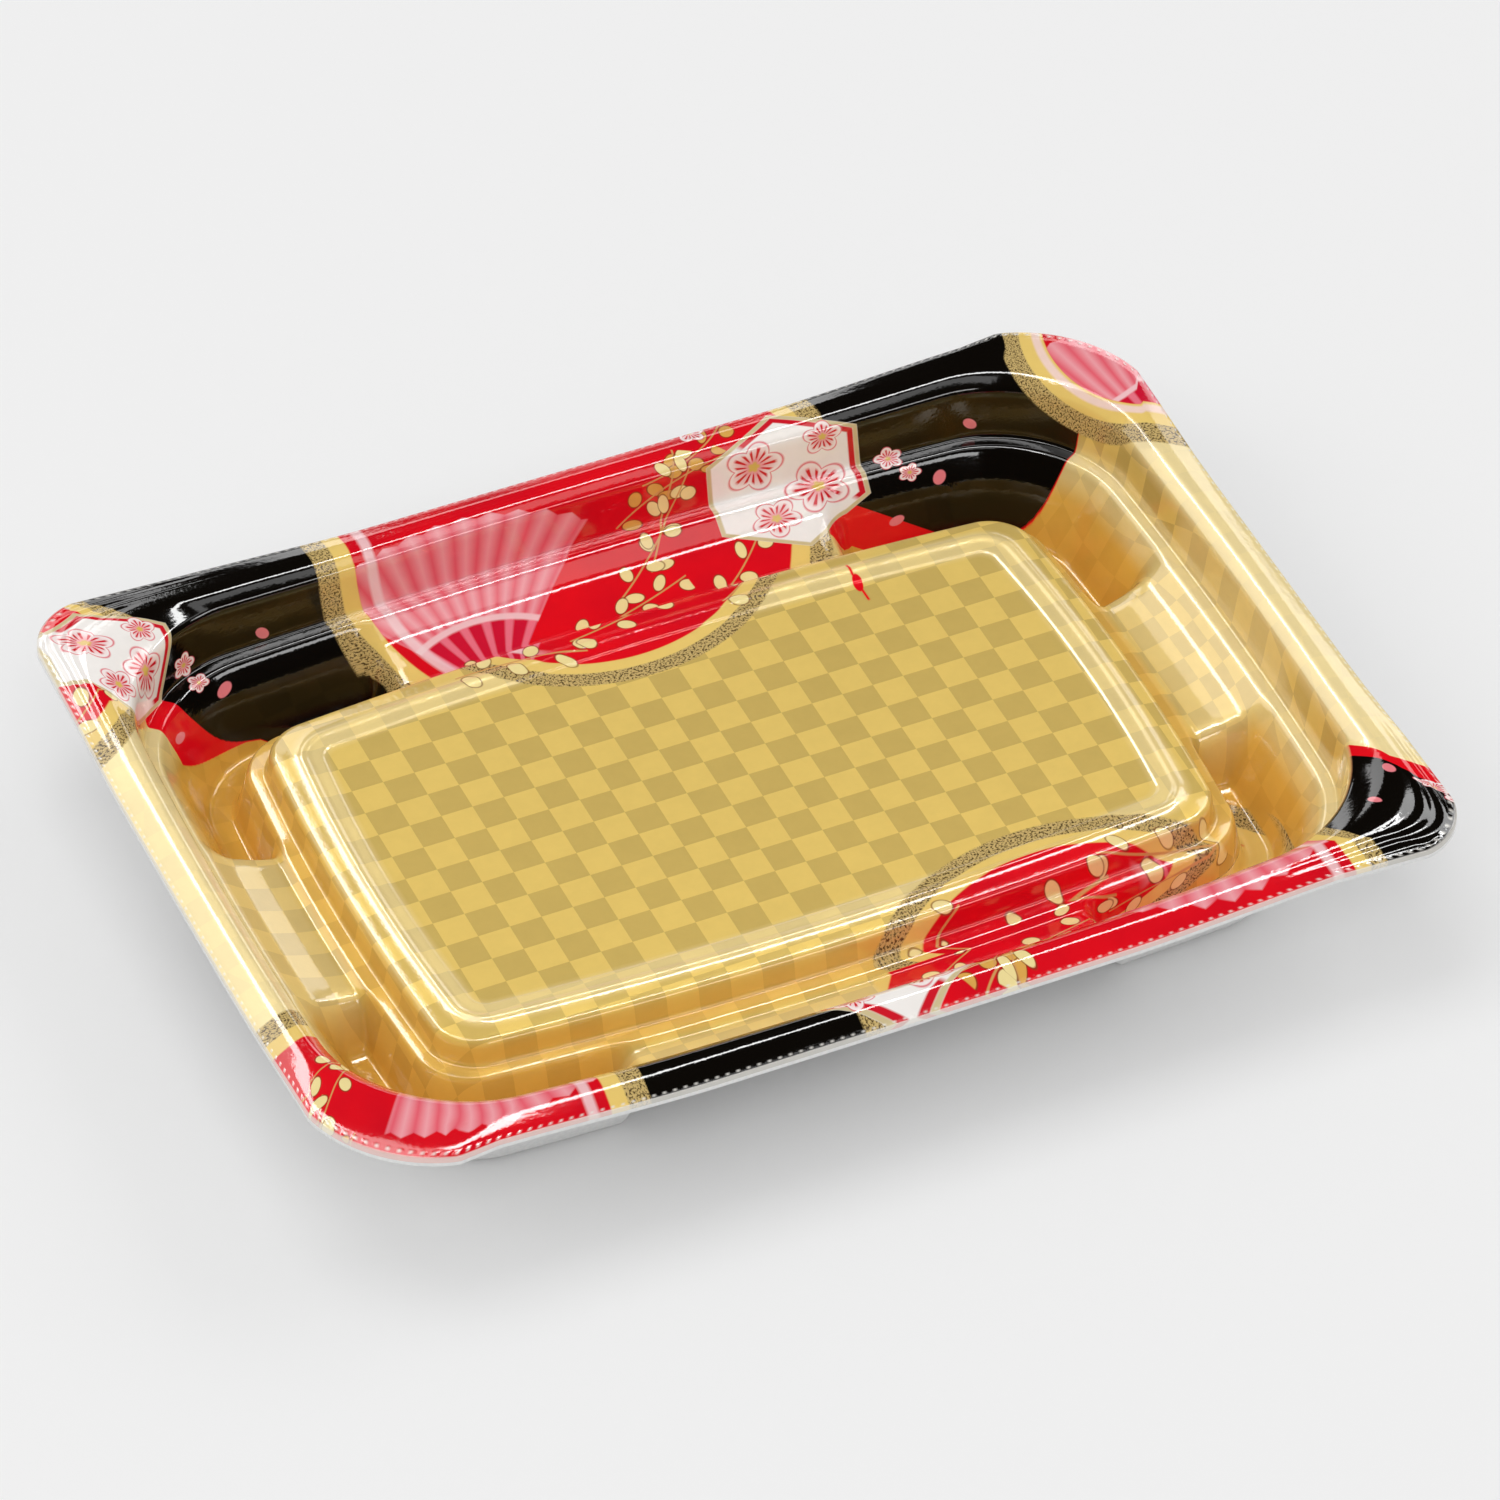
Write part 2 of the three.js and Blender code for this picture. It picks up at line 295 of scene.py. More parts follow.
def filmPlaces(grid, sections):
    film, zones = filmStretch, traySheet["zones"]
    places = grid[:, :, :3]
    around = np.roll(places, -1, 1) - np.roll(places, 1, 1)
    outwards = unitLength(np.stack([around[:, :, 1], -around[:, :, 0]], -1))
    rise = places[:, :, 2] - film["level"]
    # past the pads the film evens out, so the checks bend gently along the ledge and rim
    eased = 1.0
    for axis, (start, run) in enumerate((film["easeLong"], film["easeShort"])):
        eased = eased * smooth((np.abs(places[:, :, axis]) - start) / run)
    evenRun = zones["ledge"] - zones["pocket"] - film["evenStart"]
    even = smooth((sections - zones["pocket"] - film["evenStart"]) / evenRun)[:, None]
    deep = grid[:, :, 3] * (1 - even) + eased * even
    outer = smooth((sections - zones["moatEnd"] - film["outer"][0]) / film["outer"][1])[:, None]
    reach = film["checksPad"] + (film["checksPocket"] - film["checksPad"]) * deep
    onInner = -film["checks"] * rise
    onOuter = reach + film["checks"] * rise
    checks = places[:, :, :2] + outwards * (onInner + (onOuter - onInner) * outer)[:, :, None]
    # down the island's side the large print runs on by the sheet's own length
    edge = int(np.argmax(sections >= zones["islandTop"]))
    nearness = 0.5 - 0.5 * outwards[:, :, 1]
    slide = film["slideFar"] + (film["slideNear"] - film["slideFar"]) * nearness
    travelled = np.zeros(places.shape[:2])
    travelled[edge + 1:] = np.cumsum(np.linalg.norm(np.diff(places[edge:], axis=0), axis=2), axis=0)
    onSide = places[edge, :, :2] + outwards * (slide * travelled)[:, :, None]
    onWall = places[:, :, :2] + outwards * (film["print"] * rise)[:, :, None]
    wallShare = smooth((sections - zones["moatEnd"] - film["wall"][0]) / film["wall"][1])[:, None, None]
    printed = np.where((sections < zones["islandTop"])[:, None, None], places[:, :, :2],
                       onSide * (1 - wallShare) + onWall * wallShare)
    return checks, printed


def deselectAll():
    if bpy.context.object and bpy.context.object.mode != "OBJECT":
        bpy.ops.object.mode_set(mode="OBJECT")
    bpy.ops.object.select_all(action="DESELECT")


def makeTray(filmMaterial, foamMaterial):
    rings = sectionRings()
    sections = np.array([ring[column["section"]] for ring in rings])
    upperCount = int(np.argmax(sections > traySheet["zones"]["filmEnd"]))
    grid = np.array([ringPoints(ring) for ring in rings])
    pressRidges(grid[:upperCount], sections[:upperCount])
    ringCount, around = grid.shape[:2]

    deselectAll()
    bpy.ops.mesh.primitive_circle_add(vertices=around, radius=0.1, location=(0, 0, 0))
    tray = bpy.context.object
    tray.name = "tray_shell"
    bpy.ops.object.mode_set(mode="EDIT")
    bpy.ops.mesh.select_all(action="SELECT")
    for ring in range(1, ringCount):
        bpy.ops.mesh.extrude_region_move(TRANSFORM_OT_translate={"value": (0, 0, millimetre)})
    bpy.ops.object.mode_set(mode="OBJECT")
    mesh = tray.data
    mesh.vertices.foreach_set("co", (grid[:, :, :3] * millimetre).ravel())
    mesh.update()

    # close the panel's two faces and turn everything outwards
    for ring in (0, ringCount - 1):
        bpy.ops.object.mode_set(mode="EDIT")
        bpy.ops.mesh.select_all(action="DESELECT")
        bpy.ops.object.mode_set(mode="OBJECT")
        chosen = np.zeros(len(mesh.vertices), bool)
        chosen[ring * around:(ring + 1) * around] = True
        mesh.vertices.foreach_set("select", chosen)
        edgeEnds = np.empty(len(mesh.edges) * 2, int)
        mesh.edges.foreach_get("vertices", edgeEnds)
        mesh.edges.foreach_set("select", chosen[edgeEnds].reshape(-1, 2).all(1))
        bpy.ops.object.mode_set(mode="EDIT")
        bpy.ops.mesh.edge_face_add()
        bpy.ops.object.mode_set(mode="OBJECT")
    bpy.ops.object.mode_set(mode="EDIT")
    bpy.ops.mesh.select_all(action="SELECT")
    bpy.ops.mesh.normals_make_consistent(inside=False)
    bpy.ops.object.mode_set(mode="OBJECT")

    # film on the upper face, bare foam on the cut edge and underneath
    mesh.materials.append(filmMaterial)
    mesh.materials.append(foamMaterial)
    filmEnd = upperCount * around
    for face in mesh.polygons:
        face.material_index = 0 if max(face.vertices) < filmEnd else 1
        face.use_smooth = True

    checks, printed = filmPlaces(grid[:upperCount], sections[:upperCount])
    rows = np.broadcast_to(sections[:upperCount, None, None], (upperCount, around, 1))
    for name, values in (("checksPlace", np.dstack([checks, rows])),
                         ("printPlace", np.dstack([printed, grid[:upperCount, :, 3:]]))):
        layer = mesh.attributes.new(name, "FLOAT_VECTOR", "POINT")
        stored = np.zeros((len(mesh.vertices), 3))
        stored[:filmEnd] = values.reshape(-1, 3)
        layer.data.foreach_set("vector", stored.ravel())

    # a map whose first axis runs along the tray's edge in millimetres
    edge = grid[upperCount - 1, :, :3]
    edgeSteps = np.linalg.norm(np.roll(edge, -1, 0) - edge, axis=1)
    travelled = np.concatenate([[0], np.cumsum(edgeSteps)])
    edgeMap = mesh.uv_layers.new(name="edgeRun")
    values = np.zeros((len(mesh.loops), 2))
    for face in mesh.polygons:
        steps = [vertex % around for vertex in face.vertices]
        # a side face that joins the ring's last point to its first
        wraps = len(steps) == 4 and max(steps) - min(steps) > around / 2
        for loop, vertex, step in zip(face.loop_indices, face.vertices, steps):
            runIndex = around if wraps and step == 0 else step
            values[loop] = travelled[runIndex], sections[vertex // around]
    edgeMap.data.foreach_set("uv", values.ravel())
    print("tray sheet:", ringCount, "rings of", around, "points, edge", round(travelled[-1], 1), "mm")
    return tray


# Node helpers: each adds its nodes and returns their output
def put(tree, value, socket):
    if isinstance(value, bpy.types.NodeSocket):
        tree.links.new(value, socket)
    elif isinstance(value, tuple) and len(value) == 3 and socket.type == "RGBA":
        socket.default_value = (*value, 1)
    else:
        socket.default_value = value


def calc(tree, operation, *inputs):
    node = tree.nodes.new("ShaderNodeMath")
    node.operation = operation
    for value, socket in zip(inputs, node.inputs):
        put(tree, value, socket)
    return node.outputs[0]


# 0 below the edge and 1 above it
def past(tree, value, edge, blur=0.12):
    node = tree.nodes.new("ShaderNodeMapRange")
    put(tree, value, node.inputs["Value"])
    node.inputs["From Min"].default_value = edge - blur
    node.inputs["From Max"].default_value = edge + blur
    return node.outputs["Result"]


def within(tree, value, low, high, blur=0.12):
    return calc(tree, "MULTIPLY", past(tree, value, low, blur),
                calc(tree, "SUBTRACT", 1, past(tree, value, high, blur)))


def both(tree, *masks):
    result = masks[0]
    for mask in masks[1:]:
        result = calc(tree, "MULTIPLY", result, mask)
    return result


def either(tree, *masks):
    result = masks[0]
    for mask in masks[1:]:
        result = calc(tree, "MAXIMUM", result, mask)
    return result


def outside(tree, mask):
    return calc(tree, "SUBTRACT", 1, mask)


# Fine relief, its height in tenths of a millimetre
def addBump(tree, shader, height, strength, normals):
    bump = tree.nodes.new("ShaderNodeBump")
    bump.inputs["Strength"].default_value = strength
    bump.inputs["Distance"].default_value = millimetre / 10
    tree.links.new(height, bump.inputs["Height"])
    for name in normals:
        tree.links.new(bump.outputs["Normal"], shader.inputs[name])


# The first number where the mask is 0 and the second where it is 1
def pick(tree, mask, first, second):
    return calc(tree, "MULTIPLY_ADD", mask, second - first, first)


def blend(tree, share, first, second):
    node = tree.nodes.new("ShaderNodeMix")
    node.data_type = "RGBA"
    put(tree, share, node.inputs[0])
    put(tree, first, node.inputs[6])
    put(tree, second, node.inputs[7])
    return node.outputs[2]


def vectorOf(tree, x, y, z=0.0):
    node = tree.nodes.new("ShaderNodeCombineXYZ")
    for value, socket in zip((x, y, z), node.inputs):
        put(tree, value, socket)
    return node.outputs[0]


def lengthOf(tree, x, y):
    node = tree.nodes.new("ShaderNodeVectorMath")
    node.operation = "LENGTH"
    put(tree, vectorOf(tree, x, y), node.inputs[0])
    return node.outputs["Value"]


def attributeParts(tree, name):
    source = tree.nodes.new("ShaderNodeAttribute")
    source.attribute_name = name
    split = tree.nodes.new("ShaderNodeSeparateXYZ")
    tree.links.new(source.outputs["Vector"], split.inputs[0])
    return split.outputs["X"], split.outputs["Y"], split.outputs["Z"]


def noise(tree, vector, scale, detail=2.0, roughness=0.5):
    node = tree.nodes.new("ShaderNodeTexNoise")
    put(tree, vector, node.inputs["Vector"])
    node.inputs["Scale"].default_value = scale
    node.inputs["Detail"].default_value = detail
    node.inputs["Roughness"].default_value = roughness
    return node.outputs["Fac"]


# Local coordinates about a centre, turned by an angle in degrees
def turned(tree, x, y, centre, angle):
    shiftX = calc(tree, "SUBTRACT", x, centre[0])
    shiftY = calc(tree, "SUBTRACT", y, centre[1])
    cosine, sine = math.cos(math.radians(angle)), math.sin(math.radians(angle))
    along = calc(tree, "MULTIPLY_ADD", shiftX, cosine, calc(tree, "MULTIPLY", shiftY, sine))
    across = calc(tree, "MULTIPLY_ADD", shiftY, cosine, calc(tree, "MULTIPLY", shiftX, -sine))
    return along, across


def linear(red, green, blue):
    parts = []
    for value in (red, green, blue):
        value /= 255
        parts.append(value / 12.92 if value <= 0.04045 else ((value + 0.055) / 1.055) ** 2.4)
    return tuple(parts)


filmPrint = {
    "check": (7.35, 7.44),
    "checkStart": (-5.9, -8.7),
    "lightGold": linear(232, 200, 110),
    "darkGold": linear(205, 176, 98),
    # the pale washed gold is a painted sheen; the moat and pocket golds below are painted shade
    "sheenGold": linear(246, 226, 170),
    "bandGold": linear(240, 206, 116),
    "moatShadeGold": linear(232, 178, 78),
    "pocketShadeGold": linear(228, 170, 60),
    "speckleLight": linear(208, 180, 116),
    "speckleDark": linear(78, 60, 36),
    "speckleGrain": (1.9, 3, 0.65),
    "speckleLevel": 0.535,
    "black": linear(13, 10, 7),
    "red": linear(236, 16, 30),
    "deepRed": linear(216, 14, 32),
    "redGrain": (0.05, 1),
    "arcPink": linear(252, 220, 222),
    "border": linear(240, 236, 228),
    # roundels stand in two rows, the near row turned half round; the repeat runs along the tray
    "repeat": 173.0,
    "repeatEnd": 111.0,
    "farRow": (-3.0, 97.0),
    "nearRow": (48.0, -102.0),
    "redEdge": 53.0,
    "goldEdge": 57.0,
    "speckleEdge": 62.0,
    # how the pressing moved and drew each roundel where it crosses the island, and on the walls
    "islandFar": {"centre": (-1.0, -12.5), "draw": 1.284},
    "islandNear": {"centre": (1.0, -5.0), "draw": 1.107},
    "wallDraw": 0.73,
    # past these places along the tray the walls' roundels are drawn plainly, and their gold is broader
    "plainFrom": (100, 6),
    "broadFrom": (106, 3),
    # inside the near wall: the stretch of the roundel that shows on the wall, and on the floor
    "nearWall": (-22, 112),
    "nearFloor": (2, 88),
    # the pale arc inside a roundel, and where it ends
    "arc": (47.8, 50.2),
    "arcEnd": -22,
    # the pale border on the cut edge, from this crease on, and the row of beads beside it
    "borderStart": 17.86,
    "beadRow": (17.4, 17.7),
    "bead": 2.4,
}


# half the length and width of a leaf, its lean from the stem in radians, and half the stem's width
leafShape = {"pitch": 5.4, "half": (2.6, 1.7), "lean": 0.9, "blade": 0.85, "stem": 0.22}


# A curved stem with a leaf to each side in turn; gives its leaves, their outlines and its stem
def leafSpray(tree, x, y, root, angle, length, bend):
    pitch, leaf = leafShape["pitch"], leafShape["half"]
    along, across = turned(tree, x, y, root, angle)
    across = calc(tree, "MULTIPLY_ADD", calc(tree, "MULTIPLY", along, along), -bend, across)
    inRun = within(tree, along, 0, length)
    cell = calc(tree, "DIVIDE", along, pitch)
    index = calc(tree, "FLOOR", cell)
    side = calc(tree, "MULTIPLY_ADD", calc(tree, "FLOORED_MODULO", index, 2), 2, -1)
    share = calc(tree, "SUBTRACT", calc(tree, "SUBTRACT", cell, index), 0.5)
    local = calc(tree, "MULTIPLY", share, pitch)
    rise = calc(tree, "SUBTRACT", calc(tree, "MULTIPLY", across, side), leaf[0])
    cosine, sine = math.cos(leafShape["lean"]), math.sin(leafShape["lean"])
    lengthwise = calc(tree, "MULTIPLY_ADD", local, cosine, calc(tree, "MULTIPLY", rise, sine))
    crosswise = calc(tree, "MULTIPLY_ADD", rise, cosine, calc(tree, "MULTIPLY", local, -sine))
    reach = lengthOf(tree, calc(tree, "DIVIDE", lengthwise, leaf[0]),
                     calc(tree, "DIVIDE", crosswise, leaf[1]))
    blade = both(tree, inRun, outside(tree, past(tree, reach, leafShape["blade"], 0.05)))
    rim = both(tree, inRun, outside(tree, past(tree, reach, 1, 0.06)))
    off = calc(tree, "ABSOLUTE", across)
    stem = both(tree, inRun, outside(tree, past(tree, off, leafShape["stem"], 0.1)))
    return blade, rim, stem


# A five-petalled flower; gives its outline, how far out a point lies from 0 to 1, and the direction
def blossom(tree, x, y, centre, radius, angle, petals=5, notch=0.34):
    along, across = turned(tree, x, y, centre, angle)
    around = calc(tree, "ARCTAN2", across, along)
    lobe = calc(tree, "ABSOLUTE", calc(tree, "COSINE", calc(tree, "MULTIPLY", around, petals / 2)))
    outline = calc(tree, "MULTIPLY_ADD", lobe, notch * radius, (1 - notch) * radius)
    share = calc(tree, "DIVIDE", lengthOf(tree, along, across), outline)
    return outside(tree, past(tree, share, 1, 0.04)), share, around


def ellipse(tree, x, y, centre, half, angle):
    along, across = turned(tree, x, y, centre, angle)
    share = lengthOf(tree, calc(tree, "DIVIDE", along, half[0]), calc(tree, "DIVIDE", across, half[1]))
    return outside(tree, past(tree, share, 1, 0.08))


# How far out a point lies in a hexagon with upright sides: 1 on its edge
def hexagon(tree, x, y, centre, half):
    acrossX = calc(tree, "ABSOLUTE", calc(tree, "SUBTRACT", x, centre[0]))
    acrossY = calc(tree, "ABSOLUTE", calc(tree, "SUBTRACT", y, centre[1]))
    sine60 = 0.866
    slanted = calc(tree, "MULTIPLY_ADD", acrossX, 0.5, calc(tree, "MULTIPLY", acrossY, sine60))
    return calc(tree, "DIVIDE", calc(tree, "MAXIMUM", acrossX, slanted), half)


# How far the gold is deepened as painted shade in the moat and the pockets, and paled as a painted
# sheen on the ledge and rim top, the pads, the wall's top and the frame
paintedGoldShadeAndSheen = {"moat": 0.5, "pocket": 0.7, "top": 0.8, "pad": 0.35, "wall": 0.35, "frame": 0.5}


def checkedGold(tree, checkX, checkY, section, deep):
    colours, paintedShares, zones = filmPrint, paintedGoldShadeAndSheen, traySheet["zones"]
    cells = []
    for value, start, size in zip((checkX, checkY), colours["checkStart"], colours["check"]):
        cells.append(calc(tree, "DIVIDE", calc(tree, "SUBTRACT", value, start), size))
    checker = tree.nodes.new("ShaderNodeTexChecker")
    put(tree, vectorOf(tree, *cells, 1.0), checker.inputs["Vector"])
    checker.inputs["Scale"].default_value = 1.0
    checker.inputs["Color1"].default_value = (*colours["darkGold"], 1)
    checker.inputs["Color2"].default_value = (*colours["lightGold"], 1)
    # the moat and the pockets get a deeper, oranger gold: painted shade
    inMoat = within(tree, section, zones["islandEdge"] - 0.4, zones["moatEnd"] - 0.2, 0.4)
    inPocket = both(tree, deep, within(tree, section, zones["moatEnd"], zones["ledge"] - 0.6, 0.4))
    gold = blend(tree, calc(tree, "MULTIPLY", inMoat, paintedShares["moat"]), checker.outputs["Color"],
                 colours["moatShadeGold"])
    gold = blend(tree, calc(tree, "MULTIPLY", inPocket, paintedShares["pocket"]), gold, colours["pocketShadeGold"])
    # pale washes towards a whitish gold on the ledge and rim top, the pads, the wall's top and the
    # frame: painted sheen
    pale = {
        "top": either(tree, within(tree, section, zones["ledge"] - 0.2, zones["ledge"] + 1, 0.4),
                      past(tree, section, zones["shoulder"], 0.3)),
        "pad": both(tree, outside(tree, deep), past(tree, section, zones["pocket"], 0.3)),
        "wall": within(tree, section, zones["ledge"] - 0.8, zones["ledge"], 0.3),
        "frame": within(tree, section, zones["frame"][0], zones["frame"][1], 0.3),
    }
    sheenShare = 0.0
    for name, mask in pale.items():
        sheenShare = calc(tree, "MAXIMUM", calc(tree, "MULTIPLY", mask, paintedShares[name]), sheenShare)
    return blend(tree, sheenShare, gold, colours["sheenGold"])


# The grounds meet the gold along a valley line between two roundels: where the repeat is joined up,
# where the valley's middle lies in it, how low its foot is, its rise on the near side, and how fast
# the red band thins and to what. The pressing drew each valley differently: slopes to its left and
# right, the move at its foot and the depth of the red band under the black
valleyShape = {
    "join": -30,
    "middle": 91,
    "foot": 46,
    "nearRise": 10,
    "taper": -0.75,
    "thinnest": 0.3,
    "farLeft": (0.86, -0.3, 2.6, 12.0),
    "farRight": (0.88, 0.57, -4.5, 14.0),
    "near": (0.88, -0.9, 4.5, 6.0),
}


# Red and black grounds between the roundels; gives the red band too
def addGrounds(tree, gold, x, y, isNear, printX, onWall):
    colours, shape = filmPrint, valleyShape
    leftOf = outside(tree, past(tree, x, shape["join"], 0.5))
    wrapped = calc(tree, "MULTIPLY_ADD", leftOf, colours["repeat"], x)
    valley = calc(tree, "SUBTRACT", wrapped, shape["middle"])
    isRight = past(tree, printX, 0, 1)
    slopes = []
    for farLeft, farRight, near in zip(shape["farLeft"], shape["farRight"], shape["near"]):
        value = calc(tree, "MULTIPLY_ADD", isRight, farRight - farLeft, farLeft)
        slopes.append(calc(tree, "MULTIPLY_ADD", isNear, calc(tree, "SUBTRACT", near, value), value))
    leftSlope, rightSlope, move, depth = slopes
    leftLine = calc(tree, "MULTIPLY_ADD", calc(tree, "MULTIPLY", valley, leftSlope), -1, move)
    rightLine = calc(tree, "MULTIPLY_ADD", valley, rightSlope,
                     calc(tree, "MULTIPLY", isNear, shape["nearRise"]))
    line = calc(tree, "SUBTRACT", calc(tree, "MAXIMUM", leftLine, rightLine), shape["foot"])
    above = calc(tree, "SUBTRACT", y, line)
    # the far bands thin out to the right, and the near one keeps its depth
    noLimit = calc(tree, "MULTIPLY", isNear, 99)
    thinning = calc(tree, "MULTIPLY_ADD", valley, shape["taper"], shape["thinnest"])
    thinning = calc(tree, "MAXIMUM", calc(tree, "MAXIMUM", thinning, noLimit), shape["thinnest"])
    bandDepth = calc(tree, "MINIMUM", depth, thinning)
    redBand = both(tree, onWall, past(tree, calc(tree, "ADD", above, bandDepth), 0, 0.15))
    inBlack = both(tree, onWall, past(tree, above, 0, 0.15))
    colour = blend(tree, redBand, gold, colours["red"])
    return blend(tree, inBlack, colour, colours["black"]), redBand


# A pleated fan: pale folds outside, deep pink with fine rays near the hinge, and a band between
fanShape = {
    "hinge": (-29, -54),
    "halfAngle": 0.62,
    "reach": 55.0,
    "inner": 24.0,
    "band": 2,
    "pleat": 3.4,
    "pleatHeight": 1.3,
    "ray": 6.5,
    "cover": 0.86,
    "folds": (linear(238, 104, 120), linear(252, 190, 196)),
    "rays": (linear(210, 24, 56), linear(242, 128, 146)),
    "bandColour": linear(252, 214, 216),
}


def addFan(tree, colour, x, y, inRed):
    fan = fanShape
    across = calc(tree, "SUBTRACT", x, fan["hinge"][0])
    up = calc(tree, "SUBTRACT", y, fan["hinge"][1])
    angle = calc(tree, "ARCTAN2", across, up)
    reach = lengthOf(tree, across, up)
    # both run to and fro between 0 and 1, every so many degrees
    pleat, ray = (
        calc(tree, "PINGPONG", calc(tree, "MULTIPLY", angle, math.degrees(1) / fan[name]), 1.0)
        for name in ("pleat", "ray"))
    edge = calc(tree, "MULTIPLY_ADD", pleat, fan["pleatHeight"], fan["reach"])
    aside, beyond = calc(tree, "ABSOLUTE", angle), calc(tree, "SUBTRACT", reach, edge)
    inFan = both(tree, outside(tree, past(tree, aside, fan["halfAngle"], 0.006)),
                 outside(tree, past(tree, beyond, 0, 0.2)), inRed)
    folds = blend(tree, calc(tree, "MULTIPLY", pleat, 0.8), *fan["folds"])
    rays = blend(tree, past(tree, ray, 0.62, 0.12), *fan["rays"])
    inner = outside(tree, past(tree, reach, fan["inner"], 0.4))
    band = within(tree, reach, fan["inner"], fan["inner"] + fan["band"], 0.3)
    folds = blend(tree, band, folds, fan["bandColour"])
    folds = blend(tree, inner, folds, rays)
    return blend(tree, calc(tree, "MULTIPLY", inFan, fan["cover"]), colour, folds)


# White hexagon with blossoms over the roundel's edge, and a few small ones on the black beside it
patchShape = {
    "centre": (51, -15), "half": 18.5,
    "stripe": (0.86, 0.94), "stripeFrom": 40,
    "blossoms": [((44, -8), 7.4, 0), ((58, -19), 8.2, 30), ((46, -25), 6.2, 50), ((61, -5), 5.0, 12)],
    "small": [((76, -17), 3.6, 20), ((79.5, -23), 2.9, 60), ((33, 8), 3.6, 5)],
    "petals": [((86, -27), (2.2, 1.5), 70), ((74, -36), (1.9, 1.3), 20), ((97, -14), (1.9, 1.3), 130)],
    "white": linear(250, 245, 240),
    "border": linear(214, 196, 150),
    "pale": linear(254, 248, 244),
    "rose": linear(214, 28, 44),
    "heart": linear(226, 190, 96),
    "blush": linear(240, 128, 138),
    "outline": linear(228, 104, 116),
    "loosePetal": linear(240, 132, 140),
}


def addBlossoms(tree, colour, x, y):
    hues = patchShape
    share = hexagon(tree, x, y, hues["centre"], hues["half"])
    # a rose stripe inside the border, on the patch's upper right half
    upper = past(tree, calc(tree, "ADD", x, y), hues["stripeFrom"], 1)
    stripe = both(tree, upper, within(tree, share, *hues["stripe"], 0.01))
    patch = blend(tree, stripe, hues["white"], hues["rose"])
    patch = blend(tree, within(tree, share, hues["stripe"][1], 1, 0.01), patch, hues["border"])
    colour = blend(tree, outside(tree, past(tree, share, 1, 0.006)), colour, patch)
    for kind in ("blossoms", "small"):
        for centre, radius, angle in hues[kind]:
            shape, share, around = blossom(tree, x, y, centre, radius, angle)
            # three veins to each petal
            veins = past(tree, calc(tree, "COSINE", calc(tree, "MULTIPLY", around, 15)), 0.25, 0.35)
            veins = both(tree, veins, within(tree, share, 0.3, 0.74, 0.06))
            petal = blend(tree, past(tree, share, 0.5, 0.45), hues["blush"], hues["pale"])
            petal = blend(tree, veins, petal, hues["rose"])
            petal = blend(tree, outside(tree, past(tree, share, 0.2, 0.05)), petal, hues["heart"])
            petal = blend(tree, within(tree, share, 0.93, 1.1, 0.03), petal, hues["outline"])
            colour = blend(tree, shape, colour, petal)
    for centre, half, angle in hues["petals"]:
        colour = blend(tree, ellipse(tree, x, y, centre, half, angle), colour, hues["loosePetal"])
    return colour


leafColours = {"pale": linear(246, 226, 158), "deep": linear(226, 172, 84),
               "outline": linear(120, 60, 30), "stem": linear(216, 160, 96)}
# root, direction, length and bend of each leaf spray, and whether its leaves are the deeper gold
leafSprays = [
    ((17, -4), 8, 26, 0.014, True),
    ((10, -14), 40, 30, -0.010, True),
    ((14, -30), 62, 36, 0.004, False),
    ((4, -36), 40, 42, 0.006, False),
    ((22, -46), 30, 34, 0.010, False),
    ((-42, -45), 4, 30, -0.006, False),
    ((-14, -44), 8, 36, 0.004, False),
]


def addLeaves(tree, colour, x, y, shown):
    for root, angle, length, bend, isDeep in leafSprays:
        spray = leafSpray(tree, x, y, root, angle, length, bend)
        blade, rim, stem = (both(tree, part, shown) for part in spray)
        colour = blend(tree, calc(tree, "MULTIPLY", rim, 0.7), colour, leafColours["outline"])
        colour = blend(tree, blade, colour, leafColours["deep" if isDeep else "pale"])
        colour = blend(tree, stem, colour, leafColours["stem"])
    return colour


# A red bud on a short twig
budShape = {"twigX": (51.9, 52.5), "twigY": (-58, -46), "centre": (52.2, -52), "half": (2.8, 1.1),
            "lean": 80}

# Gloss and grain of the film: noise scales are per metre, and wear is how far the colour varies
filmFinish = {
    "metallic": 0.09,
    "inkRoughness": 0.7,
    "goldRoughness": 0.34,
    "coatRoughness": 0.07,
    "coatIor": 1.6,
    "wear": 0.1,
    "wearGrain": (260, 3, 0.6),
    "smudgeScale": 45,
    "finePeel": 1100,
    "broadPeel": 120,
}


